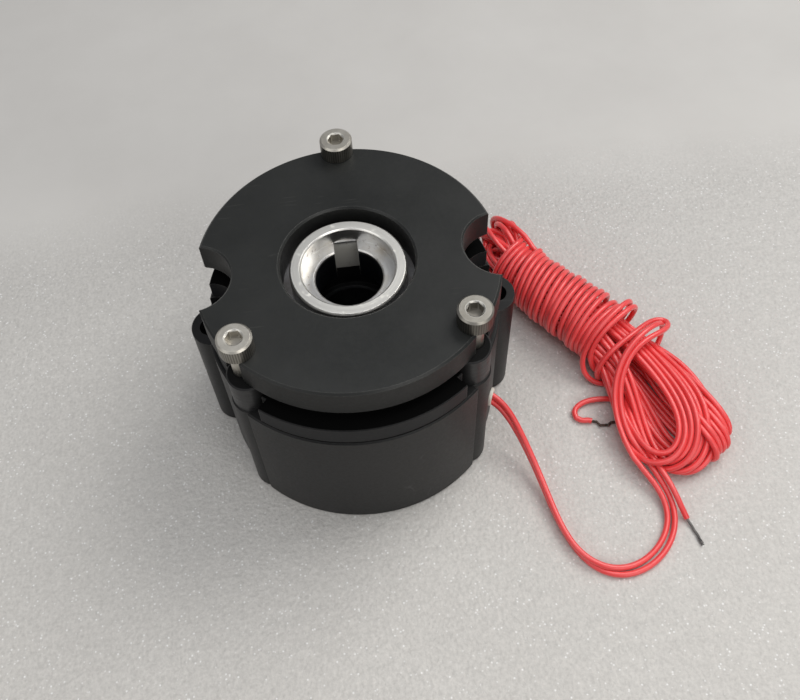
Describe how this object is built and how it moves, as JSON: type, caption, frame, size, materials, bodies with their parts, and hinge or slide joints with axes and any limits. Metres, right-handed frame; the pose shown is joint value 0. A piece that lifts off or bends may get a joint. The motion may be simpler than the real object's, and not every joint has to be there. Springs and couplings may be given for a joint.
{
  "type": "electromagnetic failsafe brake",
  "caption": "Round spring-applied brake: black pot magnet with mounting ears, armature, friction disc on a keyed hub, notched end plate on posts, and twin leads tied in a hank.",
  "frame": {"origin": "on the shaft axis, at the mounting face of the magnet body, which is also the surface that the part and its leads lie on", "axes": "+Z along the shaft axis from the mounting face to the end plate, +X through the centre of the mounting ear on the lead side, +Y towards the screw furthest from the leads' free bend"},
  "size_m": [0.1159, 0.0948, 0.0544],
  "materials": {
    "black_body": "black satin coat with a slight sheen",
    "black_plate": "black oxide, satin, ground flat",
    "black_post": "black oxide, turned",
    "armature_steel": "grey-black phosphate on steel",
    "carrier_steel": "dull steel",
    "lining": "matt friction material with fine specks",
    "hub_steel": "turned steel with fine tool rings",
    "stainless": "bright stainless steel",
    "spring_steel": "drawn spring wire",
    "bobbin_plastic": "moulded plastic",
    "copper_wire": "enamelled copper winding",
    "coil_tape": "polyester tape",
    "potting": "cast resin",
    "sleeve_white": "off-white moulded sleeve",
    "lead_red": "salmon-red insulation with a soft gloss",
    "tinned_wire": "dull tinned strands"
  },
  "bodies": {
    "housing": {"magnet_body": "black_body", "coil_bobbin": "bobbin_plastic", "coil_winding": "copper_wire", "coil_tape": "coil_tape", "coil_potting": "potting", "brake_spring_1": "spring_steel", "brake_spring_2": "spring_steel", "brake_spring_3": "spring_steel", "brake_spring_4": "spring_steel", "brake_spring_5": "spring_steel", "brake_spring_6": "spring_steel", "spacer_back": "black_post", "spacer_left": "black_post", "spacer_right": "black_post", "end_plate": "black_plate", "cap_screw_back": "stainless", "cap_screw_left": "stainless", "cap_screw_right": "stainless", "lead_bushing": "sleeve_white", "lead_a": "lead_red", "lead_b": "lead_red", "lead_hank": "lead_red", "lead_a_tail": "lead_red", "lead_b_tail": "lead_red", "conductor_a": "tinned_wire", "conductor_b": "tinned_wire"},
    "armature": {"armature_plate": "armature_steel"},
    "rotor": {"hub": "hub_steel"},
    "friction_disc": {"friction_carrier": "carrier_steel", "lining_upper": "lining", "lining_lower": "lining"}
  },
  "joints": [
    {"name": "armature_release", "type": "slide", "parent": "housing", "child": "armature", "axis": [0, 0, -1], "range_m": [0, 0.0003], "stiffness_N_per_m": 3000, "springref_m": -0.003, "deforming": ["brake_spring_1", "brake_spring_2", "brake_spring_3", "brake_spring_4", "brake_spring_5", "brake_spring_6"]},
    {"name": "rotor_spin", "type": "hinge", "parent": "housing", "child": "rotor", "pos_m": [0, 0, 0.0404], "axis": [0, 0, 1], "continuous": true},
    {"name": "friction_float", "type": "slide", "parent": "rotor", "child": "friction_disc", "axis": [0, 0, -1], "range_m": [0, 0.00015]}
  ],
  "couplings": [
    {"joint": "friction_float", "follows": "armature_release", "ratio": 0.5}
  ]
}
